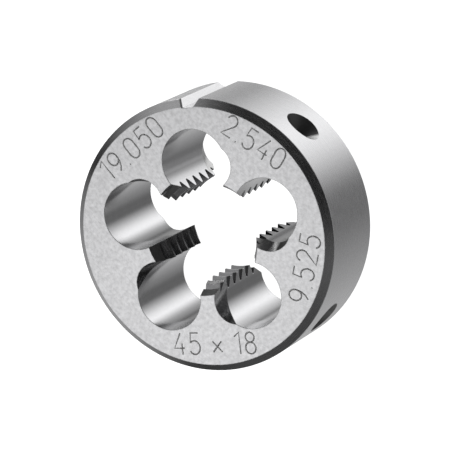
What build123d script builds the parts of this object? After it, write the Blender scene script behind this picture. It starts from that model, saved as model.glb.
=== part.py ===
from build123d import *
import math
import os

# All lengths are in millimetres and all angles in degrees.
# The origin is the centre of the plain back face, +Z points to the marked front face
# and the V slot lies at +Y.

# Blank
die_diameter = 45.0
die_thickness = 18.0
rim_chamfer = 1.2

# V slot along the rim
slot_depth = 1.35
slot_floor_width = 2.0
slot_flank_angle = 30.0
slot_angle = 90.0

# Chip holes, each with a straight-sided throat into the bore
land_count = 5
chip_hole_radius = 5.57
chip_hole_circle_radius = 12.11
first_hole_angle = 90.0
throat_half_angle = 38.0

# Right-hand thread with 55 degree flanks, 19.05 mm across the roots
thread_pitch = 2.54
thread_major_radius = 9.525
thread_flank_half_angle = 27.5
thread_flat = thread_pitch / 6
thread_phase = 1.42

# Tapered leads at both ends of the thread, backed off behind the cutting edges
front_lead_mouth_radius = 9.75
front_lead_length = 4.0
rear_lead_mouth_radius = 10.05
rear_lead_length = 4.0
lead_relief = 0.8

# Spiral-point gashes, ground into both cutting sides of every land from the two faces
gash_radius = 3.72
gash_inward_offset = 0.81
gash_side_offset = 2.45
gash_inward_slope = 0.218
gash_side_slope = 0.367
gash_reach = 6.0

# Conical seats for the clamping screws
seat_angles = [45.0, 135.0, 225.0, 315.0]
seat_depth = 3.25
seat_cone_angle = 90.0

# Working values
step = 360.0 / land_count
margin = 1.0
die_radius = die_diameter / 2
flank_slope = math.tan(math.radians(thread_flank_half_angle))
thread_depth = (thread_pitch / 2 - thread_flat) / flank_slope
thread_minor_radius = thread_major_radius - thread_depth
turnover = Axis((0, 0, die_thickness / 2), (0, 1, 0))


def polar(radius, angle, z=0.0):
    turn = math.radians(angle)
    return Vector(radius * math.cos(turn), radius * math.sin(turn), z)


def land_angle(index):
    return first_hole_angle + step * (index + 0.5)


def turn_over_land(section):
    """Turn a section drawn on XZ from one chip hole to the next, for a land on the +X axis."""
    return Rot(0, 0, -step / 2) * revolve(Plane.XZ * section, Axis.Z, step)


def make_blank():
    """The seam of the rim is turned into the V slot, so the rim is one face."""
    blank = Cylinder(die_radius, die_thickness, align=(Align.CENTER, Align.CENTER, Align.MIN))
    rims = blank.edges().filter_by(GeomType.CIRCLE)
    return Rot(0, 0, slot_angle) * chamfer(rims, rim_chamfer)


def make_slot_cutter():
    """The slot section is drawn in XY at +Y and run through the full thickness."""
    floor_y = die_radius - slot_depth
    top_y = die_radius + margin
    spread = (top_y - floor_y) * math.tan(math.radians(slot_flank_angle))
    half_floor = slot_floor_width / 2
    section = Polygon(
        (-half_floor, floor_y),
        (half_floor, floor_y),
        (half_floor + spread, top_y),
        (-half_floor - spread, top_y),
        align=None,
    )
    cutter = Pos(0, 0, -margin) * extrude(section, amount=die_thickness + 2 * margin)
    return Rot(0, 0, slot_angle - 90.0) * cutter


def make_chip_hole_cutters():
    """A drop-shaped hole: the sides of its throat are tangents that close in towards the bore."""
    half_angle = math.radians(throat_half_angle)
    tangent_x = -chip_hole_radius * math.sin(half_angle)
    tangent_y = chip_hole_radius * math.cos(half_angle)
    apex_x = -chip_hole_radius / math.sin(half_angle)
    throat = Polygon((apex_x, 0), (tangent_x, -tangent_y), (0, 0), (tangent_x, tangent_y), align=None)
    section = Circle(chip_hole_radius) + throat
    hole = extrude(section, amount=die_thickness + 2 * margin)
    cutters = []
    for index in range(land_count):
        angle = first_hole_angle + step * index
        centre = polar(chip_hole_circle_radius, angle, -margin)
        cutters.append(Pos(centre) * Rot(0, 0, angle) * hole)
    return cutters


def make_bore_cutter():
    height = die_thickness + 2 * margin
    bore = Cylinder(thread_minor_radius, height, align=(Align.CENTER, Align.CENTER, Align.MIN))
    return Pos(0, 0, -margin) * bore


def make_thread_cutters():
    """Every groove is a short V ring that leans by the helix angle, one for each turn of each land."""
    inner_radius = thread_minor_radius - thread_flat / 2
    half_root = thread_flat / 2
    half_mouth = half_root + (thread_major_radius - inner_radius) * flank_slope
    section = Polygon(
        (thread_major_radius, -half_root),
        (thread_major_radius, half_root),
        (inner_radius, half_mouth),
        (inner_radius, -half_mouth),
        align=None,
    )
    pitch_radius = thread_major_radius - thread_depth / 2
    helix_angle = math.degrees(math.atan(thread_pitch / (2 * math.pi * pitch_radius)))
    ring = Rot(helix_angle, 0, 0) * turn_over_land(section)
    cutters = []
    for index in range(land_count):
        angle = land_angle(index)
        height = (thread_phase + thread_pitch * angle / 360.0) % thread_pitch - thread_pitch
        while height < die_thickness + thread_pitch:
            cutters.append(Pos(0, 0, height) * Rot(0, 0, angle) * ring)
            height += thread_pitch
    return cutters


def make_lead_cutter(mouth_radius, length):
    """A cone in the front face, for a land on the +X axis.

    Its own axis is set off towards the heel, which makes the lead fall away behind the cutting edge.
    """
    inner_radius = thread_minor_radius - 0.5
    slope = (mouth_radius - thread_minor_radius) / length
    top = die_thickness + margin
    section = Polygon(
        (inner_radius, die_thickness - (mouth_radius - inner_radius) / slope),
        (mouth_radius + slope * margin, top),
        (inner_radius, top),
        align=None,
    )
    return Pos(0, -lead_relief, 0) * turn_over_land(section)


def make_lead_cutters():
    """The rear leads are cut as front ones and turned over with their land."""
    front = make_lead_cutter(front_lead_mouth_radius, front_lead_length)
    rear = make_lead_cutter(rear_lead_mouth_radius, rear_lead_length)
    cutters = []
    for index in range(land_count):
        place = Rot(0, 0, land_angle(index))
        cutters.append(place * front)
        cutters.append((place * rear).rotate(turnover, 180))
    return cutters


def make_gash_cutters():
    """A small grinding wheel, leaning inwards and away from the land as it goes deeper.

    The gashes in the back face are the front ones turned over.
    """
    cutters = []
    for index in range(land_count):
        angle = first_hole_angle + step * index
        outward = polar(1.0, angle)
        sideways = polar(1.0, angle - 90.0)
        down = outward * -gash_inward_slope + sideways * -gash_side_slope + Vector(0, 0, -1)
        mouth = outward * (chip_hole_circle_radius - gash_inward_offset)
        mouth += sideways * gash_side_offset + Vector(0, 0, die_thickness)
        start = mouth - down * 3.0
        wheel_length = (gash_reach + 3.0) * down.length
        wheel = extrude(Plane(origin=start, z_dir=down) * Circle(gash_radius), amount=wheel_length)
        cutters.append(wheel)
        cutters.append(wheel.rotate(turnover, 180))
    return cutters


def make_seat_cutters():
    """Cones with their axes square to the rim, halfway up the die."""
    reach = seat_depth + margin
    mouth_radius = reach * math.tan(math.radians(seat_cone_angle / 2))
    cone = Cone(0, mouth_radius, reach, align=(Align.CENTER, Align.CENTER, Align.MIN))
    cutters = []
    for angle in seat_angles:
        tip = polar(die_radius - seat_depth, angle, die_thickness / 2)
        cutters.append(Plane(origin=tip, z_dir=polar(1.0, angle)) * cone)
    return cutters


die = make_blank()
die = die.cut(make_bore_cutter(), *make_chip_hole_cutters())
die = die.cut(*make_lead_cutters())
die = die.cut(*make_thread_cutters())
die = die.cut(*make_gash_cutters())
die = die.cut(make_slot_cutter(), *make_seat_cutters())

os.makedirs("parts", exist_ok=True)
export_step(die, "parts/die_body.step")
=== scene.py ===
import math
import bpy
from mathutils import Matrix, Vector


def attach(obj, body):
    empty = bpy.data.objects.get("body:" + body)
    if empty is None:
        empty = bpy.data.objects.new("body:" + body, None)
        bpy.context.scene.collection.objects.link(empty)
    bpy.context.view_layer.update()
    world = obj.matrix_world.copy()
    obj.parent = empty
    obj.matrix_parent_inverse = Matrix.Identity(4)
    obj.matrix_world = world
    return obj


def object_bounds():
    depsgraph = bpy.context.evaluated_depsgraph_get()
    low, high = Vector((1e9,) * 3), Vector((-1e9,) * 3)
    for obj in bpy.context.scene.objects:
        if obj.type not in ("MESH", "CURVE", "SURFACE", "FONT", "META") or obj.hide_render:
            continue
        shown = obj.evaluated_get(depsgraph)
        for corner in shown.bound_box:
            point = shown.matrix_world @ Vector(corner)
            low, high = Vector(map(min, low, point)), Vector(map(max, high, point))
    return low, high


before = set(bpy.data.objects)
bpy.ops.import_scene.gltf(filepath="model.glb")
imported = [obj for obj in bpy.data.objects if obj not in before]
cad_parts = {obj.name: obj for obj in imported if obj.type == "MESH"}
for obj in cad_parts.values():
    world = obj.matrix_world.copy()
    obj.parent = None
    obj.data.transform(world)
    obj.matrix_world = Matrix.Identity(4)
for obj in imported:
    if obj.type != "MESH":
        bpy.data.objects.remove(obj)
cad_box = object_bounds()

# Lengths are in metres and angles in degrees. +Z points to the marked face and +Y to the V slot.
mm = 0.001

# The size of the blank, from the frame
die_low, die_high = cad_box
rim_radius = die_high[0]
die_thickness = die_high[2] - die_low[2]

# Places on the die that tell its finishes apart
rim_chamfer = 1.2 * mm
slot_depth = 1.35 * mm
slot_half_width = 2.0 * mm
seat_depth = 3.25 * mm
seat_reach = 1.6 * seat_depth
seat_angles = (45.0, 135.0, 225.0, 315.0)
thread_reach = 10.2 * mm
first_land_angle = 54.0
half_land_step = 36.0
near = 0.03 * mm

# The Z of a polygon's normal where it is flat, upright or part of a lead
flat_slope = 0.999
upright_slope = 0.02
lead_slopes = (0.3, 0.6)

# How squarely an upright or a sloping polygon of the thread faces the bore, at least
crest_facing = 0.9
flank_facing = 0.25

# Camera, fitted to the photograph's outlines
camera_place = (0.22718, 0.10019, 0.49686)
camera_angles = (-13.4462, 23.5958, -7.0411)
camera_lens = 267.9
camera_clip = (0.01, 10.0)
sensor_width = 36.0

# Engraved sizes of the die, one on each land but one
engraving_depth = 0.01 * mm
engraving_width = 0.27 * mm
engraving_height = 3.6 * mm
engraving_gap = 0.27
engraving_arc_step = 20.0
engravings = [
    ("19.050", 126.0, 18.4 * mm, "outward"),
    ("2.540", 54.0, 18.7 * mm, "outward"),
    ("9.525", 342.0, 18.2 * mm, "inward"),
    ("45 x 18", 270.0, 17.7 * mm, "inward"),
]

# Light tent: brightness overhead, round the compass in degrees from +X, in a plain strip below that, and
# round the compass again on the floor
tent_axis = (-0.415, -0.183, 0.891)
tent_top = 0.6
tent_middle = [
    (-180, 0.22), (-152, 0.44), (-128, 0.08), (-105, 0.08), (-62, 0.08), (-28, 0.11),
    (0, 0.02), (45, 0.015), (76, 0.025), (92, 0.035), (107, 0.17), (123, 0.51), (166, 0.03),
]
tent_strip = 0.45
tent_floor = [
    (-180, 0.57), (-130, 0.56), (-84, 0.48), (-36, 0.26), (-12, 0.18),
    (12, 0.38), (60, 1.48), (96, 1.05), (118, 0.6), (130, 0.28), (142, 0.64),
]
brightest = 2.0

# Where one part of the tent gives way to the next: two heights along the tent's axis and one along Z
strip_to_middle = (-0.36, -0.2)
middle_to_top = (0.65, 0.85)
floor_to_strip = (-0.85, -0.7)

# Bright patches low down behind the slot: azimuth, elevation, radius and brightness
tent_patches = [(127, -40, 8, 3.0), (118, -24, 13, 2.5)]

# A soft lamp whose light falls on the lower left of the face
lamp_centre = (3 * mm, -13 * mm, 18 * mm)
lamp_distance = 150 * mm
lamp_size = 80 * mm
lamp_power = 0.02

# Floor and backdrop
room_radius = 2.0
paper_white = 0.9

# Tool marks: how often straight ones change along X, Y and Z, per millimetre
turned_marks = (0.5, 0.5, 9.0)
milled_marks = (6.0, 6.0, 0.3)
gash_marks = (4.0, 4.0, 1.0)
even_marks = (3.0, 3.0, 3.0)

# Tool marks that run in arcs over the face: centre, and how often they change along and across. The
# second set has the smaller share.
face_marks = [((62 * mm, 66 * mm, 0.0), 30.0, 2.4), ((-75 * mm, 30 * mm, 0.0), 60.0, 6.0)]
second_share = 0.25

# The noise that all the tool marks come from, and the broader blotches among them
noise_detail = 3.0
noise_roughness = 0.6
noise_range = (0.34, 0.66)
blotch_share = 0.4
blotch_frequency = 1.6 / mm

# Depths of the tool marks
coarse_relief = 0.0004 * mm
fine_relief = 0.0003 * mm
smooth_relief = 0.0001 * mm
polished_relief = 0.00003 * mm

# Most edges are broken by a hair
edge_break = 0.2 * mm
edge_samples = 6

# The shades below are factors for a finish's colour; on the seats, chip holes, gashes, leads and thread
# they are painted light and shade. Four numbers are a span: from one place, angle or direction to another,
# and the value at each end. Two numbers are a span whose values are 0 and 1.

# Slot: a nearly black band along the front edge of its left flank, by X and by the depth below the chamfer
slot_edge_across = (-1.0 * mm, -0.4 * mm, 0.97, 0.0)
slot_edge_down = (0.5 * mm, 0.8 * mm, 1.0, 0.0)

# Screw seats: painted highlights on some walls and painted shade on the rest, by the Y of the normal
seat_side_highlight = (-0.5, -0.1, 2.6, 0.5)
seat_bright_side = (0.86, 0.95)
seat_bright = 4.5

# Painted shade on the lower walls of the chip holes, by the Y and the X of the normal, and the place
# where they stay bright
lower_walls = (0.7, 0.93)
lower_walls_across = (-0.12, 0.3, 0.13, 0.48)
open_corner = (11 * mm, 15 * mm)
open_side = (-8 * mm, -4 * mm, 1.0, 0.0)
open_shade = 0.9

# Painted shade on the upper walls of the chip holes, by the Y of the normal and by Z
upper_walls = (-0.35, -0.1, 1.0, 0.0)
mouth_height = (11 * mm, 17 * mm, 0.0, 0.4)

# A painted band of light and shade in the chip hole under the slot, by Y and by the Y of the normal
top_hole = (7.5 * mm, 8.5 * mm)
top_hole_walls = [(-0.12, 0.14, 1.0, 1.62), (0.22, 0.36, 1.0, 0.46), (0.4, 0.54, 1.0, 1.2)]

# Gashes: a painted glint with painted shade at its sides on the right ones, by X, and painted light on
# the rear ones, by Z
right_gashes = (3 * mm, 6 * mm)
gash_painted_glint = (11.0 * mm, 11.6 * mm, 0.55, 1.6)
gash_dark_side = (12.3 * mm, 12.8 * mm)
gash_dark = 0.2
gash_height = (8 * mm, 10 * mm, 2.1, 1.0)

# Painted light and shade on the leads, by X, and the height at which their mouths begin
lead_left = (-8.0 * mm, -5.5 * mm, 0.5, 1.0)
lead_inside = (-5.0 * mm, -2.0 * mm, 1.1, 3.4)
lead_mouth = (3.0 * mm, 6.0 * mm, 1.0, 3.2)
lead_mouth_height = (15.2 * mm, 16.0 * mm)

# Thread: where the right lands begin, and the painted shade on a land's end and on its crests, left and right
right_lands = (-3.4 * mm, -1.8 * mm)
land_end_angles = (5.5, 7.5)
land_end_shades = (0.7, 0.15)
crest_slopes = (0.0, 0.2)
crest_shades = (0.25, 0.75)

# Painted shade on the tips of the upper left teeth, by Y and by the Z of the normal
tip_places = (7.2 * mm, 7.9 * mm)
tip_slopes = (0.2, 0.6)
tip_shade = 0.38


def direction(azimuth, elevation=0.0):
    a = math.radians(azimuth)
    e = math.radians(elevation)
    return Vector((math.cos(a) * math.cos(e), math.sin(a) * math.cos(e), math.sin(e)))


def add_camera():
    data = bpy.data.cameras.new("camera")
    data.sensor_fit = "HORIZONTAL"
    data.sensor_width = sensor_width
    data.lens = camera_lens
    data.clip_start, data.clip_end = camera_clip
    camera = bpy.data.objects.new("camera", data)
    camera.location = camera_place
    camera.rotation_euler = [math.radians(angle) for angle in camera_angles]
    bpy.context.scene.collection.objects.link(camera)
    bpy.context.scene.camera = camera


class Nodes:
    """A short way to write a node tree: each call adds a node, feeds its inputs and returns an output."""

    def __init__(self, tree):
        self.tree = tree

    def add(self, kind, inputs=None, output=0, **settings):
        node = self.tree.nodes.new(kind)
        for name, value in settings.items():
            setattr(node, name, value)
        for name, value in (inputs or {}).items():
            self.feed(node.inputs[name], value)
        return node.outputs[output]

    def feed(self, socket, value):
        if isinstance(value, bpy.types.NodeSocket):
            self.tree.links.new(value, socket)
        else:
            socket.default_value = value

    def math(self, operation, *values):
        return self.add("ShaderNodeMath", dict(enumerate(values)), operation=operation)

    def product(self, *factors):
        result = factors[0]
        for factor in factors[1:]:
            result = self.math("MULTIPLY", result, factor)
        return result

    def rest(self, value):
        """What is left of one."""
        return self.math("SUBTRACT", 1.0, value)

    def vector(self, operation, *values, output=0):
        return self.add("ShaderNodeVectorMath", dict(enumerate(values)), output, operation=operation)

    def scale(self, vector, factor):
        return self.add("ShaderNodeVectorMath", {0: vector, 3: factor}, operation="SCALE")

    def parts(self, vector):
        node = self.tree.nodes.new("ShaderNodeSeparateXYZ")
        self.tree.links.new(vector, node.inputs[0])
        return list(node.outputs)

    def normal(self):
        """The X, Y and Z of the way that the surface looks."""
        return self.parts(self.add("ShaderNodeNewGeometry", output="Normal"))

    def mix(self, factor, low, high):
        return self.add("ShaderNodeMix", {0: factor, 2: low, 3: high}, data_type="FLOAT")

    def span(self, value, start, end, low=0.0, high=1.0):
        """Runs smoothly from low to high while value goes from start to end."""
        names = ("Value", "From Min", "From Max", "To Min", "To Max")
        inputs = dict(zip(names, (value, start, end, low, high)))
        return self.add("ShaderNodeMapRange", inputs, interpolation_type="SMOOTHSTEP")

    def noise(self, vector):
        inputs = {"Vector": vector, "Scale": 1.0, "Detail": noise_detail, "Roughness": noise_roughness}
        return self.add("ShaderNodeTexNoise", inputs)

    def compass(self, azimuth, stops):
        """Brightness round the compass, from (degrees, brightness) pairs that start at -180."""
        turn = self.math("MULTIPLY_ADD", azimuth, 0.5 / math.pi, 0.5)
        node = self.tree.nodes.new("ShaderNodeValToRGB")
        self.tree.links.new(turn, node.inputs[0])
        ramp = node.color_ramp
        ramp.interpolation = "CARDINAL"
        for degrees, level in stops[1:]:
            share = level / brightest
            ramp.elements.new((degrees + 180.0) / 360.0).color = (share, share, share, 1.0)
        seam = stops[0][1] / brightest
        for end in (ramp.elements[0], ramp.elements[-1]):
            end.color = (seam, seam, seam, 1.0)
        return self.math("MULTIPLY", node.outputs[0], brightest)


def add_light_tent():
    """Soft light from all round: bright overhead, a dark band round the middle and shaded paper below."""
    world = bpy.data.worlds.new("light_tent")
    world.use_nodes = True
    bpy.context.scene.world = world
    world.node_tree.nodes.clear()
    n = Nodes(world.node_tree)
    way = n.add("ShaderNodeTexCoord", output="Generated")
    height = n.vector("DOT_PRODUCT", way, tent_axis, output="Value")
    x, y, z = n.parts(way)
    azimuth = n.math("ARCTAN2", y, x)
    level = n.mix(n.span(height, *strip_to_middle), tent_strip, n.compass(azimuth, tent_middle))
    level = n.mix(n.span(z, *floor_to_strip), n.compass(azimuth, tent_floor), level)
    for patch_azimuth, patch_elevation, radius, brightness in tent_patches:
        patch = n.vector("DOT_PRODUCT", way, direction(patch_azimuth, patch_elevation), output="Value")
        edge, core = [math.cos(math.radians(angle)) for angle in (radius, radius / 2)]
        level = n.mix(n.span(patch, edge, core), level, brightness)
    level = n.mix(n.span(height, *middle_to_top), level, tent_top)
    glow = n.add("ShaderNodeBackground", {"Color": (1.0, 1.0, 1.0, 1.0), "Strength": level})
    out = world.node_tree.nodes.new("ShaderNodeOutputWorld")
    world.node_tree.links.new(glow, out.inputs["Surface"])


def add_lamp():
    lamp = bpy.data.lights.new("soft_lamp", "AREA")
    lamp.size = lamp_size
    lamp.energy = lamp_power
    holder = bpy.data.objects.new("soft_lamp", lamp)
    axis = Vector(tent_axis)
    holder.location = Vector(lamp_centre) + axis * lamp_distance
    holder.rotation_euler = axis.to_track_quat("Z", "Y").to_euler()
    bpy.context.scene.collection.objects.link(holder)


def add_floor():
    """A plain white floor and backdrop that only the camera sees, so the tent alone lights the steel."""
    material = bpy.data.materials.new("white_paper")
    material.use_nodes = True
    bsdf = material.node_tree.nodes["Principled BSDF"]
    bsdf.inputs["Base Color"].default_value = (paper_white, paper_white, paper_white, 1.0)
    bsdf.inputs["Roughness"].default_value = 0.9
    bsdf.inputs["Emission Color"].default_value = (1.0, 1.0, 1.0, 1.0)
    bsdf.inputs["Emission Strength"].default_value = 1.0
    bpy.ops.mesh.primitive_circle_add(vertices=96, radius=room_radius, fill_type="NGON")
    floor = bpy.context.object
    floor.name = "floor"
    floor.location.z = -near
    bpy.ops.mesh.primitive_uv_sphere_add(segments=64, ring_count=32, radius=room_radius)
    backdrop = bpy.context.object
    backdrop.name = "backdrop"
    for item in (floor, backdrop):
        item.data.materials.append(material)
        item.visible_diffuse = False
        item.visible_glossy = False
        item.visible_shadow = False


def lines(stretch):
    """Fine tool marks in straight lines, which change stretch times along X, Y and Z in a millimetre."""
    def grain(n, place):
        return n.noise(n.vector("MULTIPLY", place, [s / mm for s in stretch]))
    return grain


def arcs(centre, along, across):
    """Fine grinding marks that run in wide arcs round a centre beside the die."""
    def grain(n, place):
        away = n.vector("MULTIPLY", n.vector("SUBTRACT", place, centre), (1.0, 1.0, 0.0))
        distance = n.vector("LENGTH", away, output="Value")
        turn = n.scale(n.vector("NORMALIZE", away), along)
        offset = n.add("ShaderNodeCombineXYZ", {"Z": n.math("MULTIPLY", distance, across / mm)})
        return n.noise(n.vector("ADD", turn, offset))
    return grain


def steel(
    name, colour, roughness, grains, swing, roughness_swing,
    relief=0.0, shade=None, edge=edge_break, sheen=1.0,
):
    """Steel whose tool marks vary its colour, its gloss and its surface.

    swing and roughness_swing are the largest changes of colour and roughness, and relief is the depth of
    the marks. shade may return one more factor for the colour from the place on the surface; most of these
    factors are painted light and shade. edge is how far the edges are broken, and sheen how much of its
    gloss the steel keeps at a glancing angle.
    """
    material = bpy.data.materials.new(name)
    material.use_nodes = True
    n = Nodes(material.node_tree)
    bsdf = material.node_tree.nodes["Principled BSDF"]
    place = n.add("ShaderNodeTexCoord", output="Object")
    marks = grains[0](n, place)
    for grain in grains[1:]:
        marks = n.mix(second_share, marks, grain(n, place))
    blotches = n.noise(n.scale(place, blotch_frequency))
    pattern = n.mix(blotch_share, marks, blotches)
    brightness = n.span(pattern, *noise_range, 1.0 - swing, 1.0 + swing)
    if shade:
        brightness = n.product(brightness, shade(n, place))
    n.feed(bsdf.inputs["Base Color"], n.scale(colour, brightness))
    bsdf.inputs["Metallic"].default_value = 1.0
    bsdf.inputs["Specular Tint"].default_value = (sheen, sheen, sheen, 1.0)
    gloss = n.span(marks, *noise_range, roughness - roughness_swing, roughness + roughness_swing)
    n.feed(bsdf.inputs["Roughness"], gloss)
    rounded = n.add("ShaderNodeBevel", {"Radius": edge}, samples=edge_samples)
    bump = n.add("ShaderNodeBump", {"Strength": 1.0, "Distance": relief, "Height": marks, "Normal": rounded})
    n.feed(bsdf.inputs["Normal"], bump)
    return material


def slot_shade(n, place):
    """The left flank is nearly black along its front edge, next to the chamfer."""
    x, y, z = n.parts(place)
    below = n.math("SUBTRACT", rim_radius + die_thickness - rim_chamfer, n.math("ADD", y, z))
    return n.rest(n.product(n.span(x, *slot_edge_across), n.span(below, *slot_edge_down)))


def seat_shade(n, place):
    """Painted highlights on the walls that look along Y, the most toward the slot, and painted shade
    elsewhere.
    """
    facing = n.normal()[1]
    return n.mix(n.span(facing, *seat_bright_side), n.span(facing, *seat_side_highlight), seat_bright)


def hole_shade(n, place):
    """Painted shade darkens the lower walls, except in the hole at +X and -Y, and the upper ones at the
    mouth.

    The walls of the hole under the slot get a soft band of painted light, with painted shade beyond it.
    """
    x, y, z = n.parts(place)
    across, facing = n.normal()[:2]
    is_open = n.product(n.span(n.math("SUBTRACT", x, y), *open_corner), n.span(y, *open_side))
    under = n.mix(is_open, n.span(across, *lower_walls_across), open_shade)
    lower = n.mix(n.span(facing, *lower_walls), 1.0, under)
    walls = n.product(*[n.span(facing, *wall) for wall in top_hole_walls])
    mouth = n.product(n.span(facing, *upper_walls), n.span(z, *mouth_height))
    return n.product(lower, n.mix(n.span(y, *top_hole), 1.0, walls), n.rest(mouth))


def gash_shade(n, place):
    """Painted shade and a painted glint on the gashes at +X, and painted light on those in the back face."""
    x, _, z = n.parts(place)
    painted_glint = n.mix(n.span(x, *gash_dark_side), n.span(x, *gash_painted_glint), gash_dark)
    return n.product(n.span(z, *gash_height), n.mix(n.span(x, *right_gashes), 1.0, painted_glint))


def lead_shade(n, place):
    """Painted light and shade make the leads brighter from left to right, the middle ones dark at their
    mouths.
    """
    x, _, z = n.parts(place)
    level = n.mix(n.span(z, *lead_mouth_height), n.span(x, *lead_inside), n.span(x, *lead_mouth))
    return n.product(n.span(x, *lead_left), level)


def thread_shade(n, place):
    """Painted shade darkens the thread's crests, one end of each land and the tips of the upper left teeth.
    """
    x, y, _ = n.parts(place)
    right = n.span(x, *right_lands)
    turn = n.math("SUBTRACT", n.math("ARCTAN2", y, x), math.radians(first_land_angle))
    turn = n.math("WRAP", turn, math.radians(half_land_step), math.radians(-half_land_step))
    start, end = [math.radians(angle) for angle in land_end_angles]
    land_end = n.span(turn, start, end, 1.0, n.mix(right, *land_end_shades))
    slope = n.math("ABSOLUTE", n.normal()[2])
    crest = n.span(slope, *crest_slopes, n.mix(right, *crest_shades), 1.0)
    tip = n.product(n.span(y, *tip_places), n.rest(right), n.span(slope, *tip_slopes))
    return n.product(land_end, crest, n.mix(tip, 1.0, tip_shade))


def make_finishes():
    turned = [lines(turned_marks)]
    even = [lines(even_marks)]
    light = (0.62, 0.62, 0.63)
    return {
        "face": steel(
            "ground_face", colour=light, roughness=0.40, grains=[arcs(*marks) for marks in face_marks],
            swing=0.21, roughness_swing=0.05, relief=coarse_relief,
        ),
        "rim": steel(
            "ground_rim", colour=light, roughness=0.28, grains=turned,
            swing=0.04, roughness_swing=0.03, relief=fine_relief,
        ),
        "chamfer": steel(
            "turned_chamfer", colour=light, roughness=0.25, grains=turned,
            swing=0.05, roughness_swing=0.03, relief=fine_relief,
        ),
        "slot": steel(
            "milled_slot", colour=(0.82, 0.82, 0.83), roughness=0.3, grains=[lines(milled_marks)],
            swing=0.05, roughness_swing=0.04, relief=coarse_relief, shade=slot_shade,
        ),
        "seat": steel(
            "drilled_seat", colour=(0.2, 0.2, 0.2), roughness=0.5, grains=even,
            swing=0.1, roughness_swing=0.03, relief=fine_relief, shade=seat_shade, edge=0.0,
        ),
        "chip_hole": steel(
            "bored_hole", colour=(0.58, 0.58, 0.59), roughness=0.17, grains=turned,
            swing=0.03, roughness_swing=0.02, relief=smooth_relief, shade=hole_shade,
        ),
        "gash": steel(
            "ground_gash", colour=(0.32, 0.32, 0.32), roughness=0.24, grains=[lines(gash_marks)],
            swing=0.1, roughness_swing=0.02, relief=polished_relief, shade=gash_shade, edge=0.0, sheen=0.55,
        ),
        "lead": steel(
            "ground_lead", colour=(0.3, 0.3, 0.3), roughness=0.5, grains=even,
            swing=0.1, roughness_swing=0.03, relief=smooth_relief, shade=lead_shade, edge=0.0,
        ),
        "thread": steel(
            "ground_thread", colour=(0.45, 0.45, 0.46), roughness=0.25, grains=turned,
            swing=0.12, roughness_swing=0.03, relief=smooth_relief, shade=thread_shade, edge=0.0,
        ),
    }


def in_seat(points):
    """Whether all the points lie in the cone of one screw seat."""
    for angle in seat_angles:
        axis = direction(angle)
        tip = axis * (rim_radius - seat_depth) + Vector((0.0, 0.0, die_thickness / 2))
        if all((p - tip).dot(axis) > -near and (p - tip).length < seat_reach for p in points):
            return True
    return False


def region(polygon, points):
    """The name of the finish that a polygon of the die has."""
    slope = abs(polygon.normal.z)
    centre = polygon.center
    radii = [math.hypot(p.x, p.y) for p in points]
    off_middle = abs(centre.z - die_thickness / 2)
    if slope > flat_slope and off_middle > die_thickness / 2 - near:
        return "face"
    if off_middle > die_thickness / 2 - rim_chamfer and min(radii) > rim_radius - rim_chamfer - near:
        return "chamfer"
    if min(radii) > rim_radius - near:
        return "rim"
    if centre.y > rim_radius - slot_depth - near and abs(centre.x) < slot_half_width:
        return "slot"
    if in_seat(points):
        return "seat"
    upright = slope < upright_slope
    inward = -Vector((centre.x, centre.y, 0.0)).normalized()
    faces_bore = polygon.normal.dot(inward) > (crest_facing if upright else flank_facing)
    if faces_bore and max(radii) < thread_reach:
        return "lead" if lead_slopes[0] < slope < lead_slopes[1] else "thread"
    return "chip_hole" if upright else "gash"


def dress_die():
    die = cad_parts["die_body"]
    finishes = make_finishes()
    die.data.materials.clear()
    for material in finishes.values():
        die.data.materials.append(material)
    names = list(finishes)
    vertices = die.data.vertices
    for polygon in die.data.polygons:
        points = [vertices[i].co for i in polygon.vertices]
        polygon.material_index = names.index(region(polygon, points))


def arc(x, y, width, height, start, end):
    """Points along an ellipse with its middle at x, y."""
    steps = max(3, round(abs(end - start) / engraving_arc_step))
    turns = [math.radians(start + (end - start) * i / steps) for i in range(steps + 1)]
    return [(x + width / 2 * math.cos(t), y + height / 2 * math.sin(t)) for t in turns]


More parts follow.
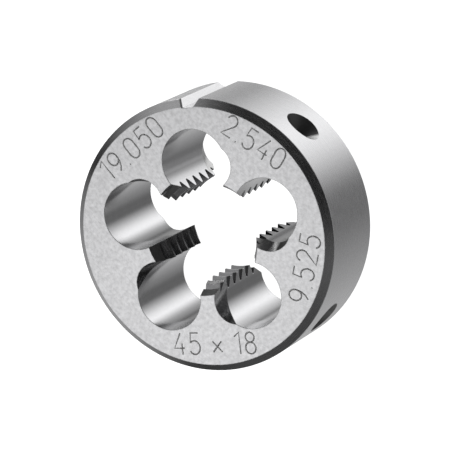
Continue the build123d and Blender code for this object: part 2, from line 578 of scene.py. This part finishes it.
# Single-stroke characters, one unit high: the width and the strokes of each
characters = {
    " ": (0.1, []),
    ".": (0.05, [[(0.0, 0.0), (0.05, 0.0)]]),
    "0": (0.5, [arc(0.25, 0.7, 0.5, 0.6, 0, 180) + arc(0.25, 0.3, 0.5, 0.6, 180, 360) + [(0.5, 0.7)]]),
    "1": (0.25, [[(0.0, 0.8), (0.25, 1.0), (0.25, 0.0)]]),
    "2": (0.5, [arc(0.25, 0.73, 0.5, 0.54, 170, -30) + [(0.0, 0.0), (0.5, 0.0)]]),
    "4": (0.5, [[(0.34, 1.0), (0.0, 0.3), (0.5, 0.3)], [(0.38, 0.52), (0.38, 0.0)]]),
    "5": (0.5, [[(0.46, 1.0), (0.08, 1.0), (0.04, 0.56)] + arc(0.23, 0.32, 0.54, 0.64, 130, -150)]),
    "8": (0.5, [arc(0.25, 0.77, 0.42, 0.46, -90, 270), arc(0.25, 0.27, 0.5, 0.54, 90, 450)]),
    "9": (0.5, [arc(0.25, 0.7, 0.5, 0.6, 0, 360), arc(0.0, 0.7, 1.0, 1.4, 0, -65)]),
    "x": (0.45, [[(0.0, 0.1), (0.45, 0.6)], [(0.0, 0.6), (0.45, 0.1)]]),
}


def engraving_strokes():
    """Every stroke of the engravings, as points on the marked face."""
    strokes = []
    for text, angle, radius, facing in engravings:
        widths = [characters[letter][0] for letter in text]
        left = -(sum(widths) + engraving_gap * (len(text) - 1)) / 2
        up = direction(angle) if facing == "outward" else -direction(angle)
        right = Vector((up.y, -up.x, 0.0))
        middle = direction(angle) * radius
        for letter, width in zip(text, widths):
            for stroke in characters[letter][1]:
                places = [right * (left + x) + up * (y - 0.5) for x, y in stroke]
                strokes.append([middle + place * engraving_height for place in places])
            left += width + engraving_gap
    return strokes


def add_engravings():
    """The strokes lie in the marked face as flat dark lines."""
    curve = bpy.data.curves.new("stroke_paths", "CURVE")
    curve.dimensions = "3D"
    curve.bevel_depth = engraving_width / 2
    curve.bevel_resolution = 2
    curve.use_fill_caps = True
    for points in engraving_strokes():
        closed = (points[0] - points[-1]).length < near
        if closed:
            points = points[:-1]
        spline = curve.splines.new("POLY")
        spline.points.add(len(points) - 1)
        spline.use_cyclic_u = closed
        for point, place in zip(spline.points, points):
            point.co = (place.x, place.y, 0.0, 1.0)
    paths = bpy.data.objects.new("stroke_paths", curve)
    bpy.context.scene.collection.objects.link(paths)
    mesh = bpy.data.meshes.new_from_object(paths)
    bpy.data.objects.remove(paths)
    for vertex in mesh.vertices:
        vertex.co.z = die_thickness + vertex.co.z * engraving_depth / engraving_width
    mesh.materials.clear()
    dark_line = steel(
        "engraved", colour=(0.8, 0.8, 0.8), roughness=0.5, grains=[lines(even_marks)],
        swing=0.3, roughness_swing=0.05,
    )
    mesh.materials.append(dark_line)
    piece = bpy.data.objects.new("engraved_sizes", mesh)
    bpy.context.scene.collection.objects.link(piece)
    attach(piece, "root")


add_camera()
add_light_tent()
add_lamp()
add_floor()
dress_die()
add_engravings()
bpy.context.scene.view_settings.view_transform = "Standard"
